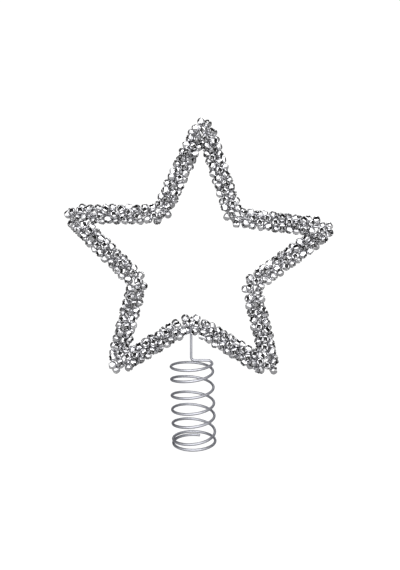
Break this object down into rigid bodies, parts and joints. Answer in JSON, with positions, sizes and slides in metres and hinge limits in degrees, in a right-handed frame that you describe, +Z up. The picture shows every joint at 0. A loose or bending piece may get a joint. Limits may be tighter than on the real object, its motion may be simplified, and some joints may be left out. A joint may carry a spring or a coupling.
{
  "type": "christmas tree topper star",
  "caption": "Open star tree topper of silver mini jingle bells bound round a bent wire frame, on a steel spring coil that grips the tree's tip.",
  "frame": {"origin": "centre of the coil's open bottom, on the axis of its lowest turns, where the tree's tip enters", "axes": "+Z up the coil towards the star's top point, +X to the right as seen from the front, +Y to the back, square to the star"},
  "size_m": [0.215, 0.0355, 0.2618],
  "materials": {
    "bell_plating": "bright silver plating",
    "pellet_steel": "plain steel",
    "binding_wire": "drawn wire",
    "spring_wire": "satin drawn wire",
    "frame_wire": "drawn wire",
    "weld_metal": "weld bead"
  },
  "bodies": {
    "coil": {"spring_coil": "spring_wire"},
    "arm": {"spring_arm": "spring_wire"},
    "stem": {"spring_stem": "spring_wire"},
    "star": {"bells_side_01": "bell_plating", "bells_side_02": "bell_plating", "bells_side_03": "bell_plating", "bells_side_04": "bell_plating", "bells_side_05": "bell_plating", "bells_side_06": "bell_plating", "bells_side_07": "bell_plating", "bells_side_08": "bell_plating", "bells_side_09": "bell_plating", "bells_side_10": "bell_plating", "binding_wire_01": "binding_wire", "binding_wire_02": "binding_wire", "binding_wire_03": "binding_wire", "binding_wire_04": "binding_wire", "binding_wire_05": "binding_wire", "binding_wire_06": "binding_wire", "binding_wire_07": "binding_wire", "binding_wire_08": "binding_wire", "binding_wire_09": "binding_wire", "binding_wire_10": "binding_wire", "pellets_side_01": "pellet_steel", "pellets_side_02": "pellet_steel", "pellets_side_03": "pellet_steel", "pellets_side_04": "pellet_steel", "pellets_side_05": "pellet_steel", "pellets_side_06": "pellet_steel", "pellets_side_07": "pellet_steel", "pellets_side_08": "pellet_steel", "pellets_side_09": "pellet_steel", "pellets_side_10": "pellet_steel", "star_frame": "frame_wire", "weld_bead": "weld_metal"}
  },
  "joints": [
    {"name": "spring_squeeze", "type": "slide", "parent": "coil", "child": "arm", "axis": [0, 0, 1], "range_m": [-0.02, 0.012], "stiffness_N_per_m": 700, "springref_m": 0.0022, "deforming": ["spring_coil"]},
    {"name": "star_nod", "type": "hinge", "parent": "arm", "child": "stem", "pos_m": [-0.00266, 0, 0.06786], "axis": [1, 0, 0], "range_deg": [-18, 18], "stiffness_Nm_per_rad": 0.7},
    {"name": "star_sway", "type": "hinge", "parent": "stem", "child": "star", "pos_m": [-0.00266, 0, 0.06786], "axis": [0, 1, 0], "range_deg": [-10, 10], "stiffness_Nm_per_rad": 0.9, "deforming": ["spring_stem"]}
  ]
}
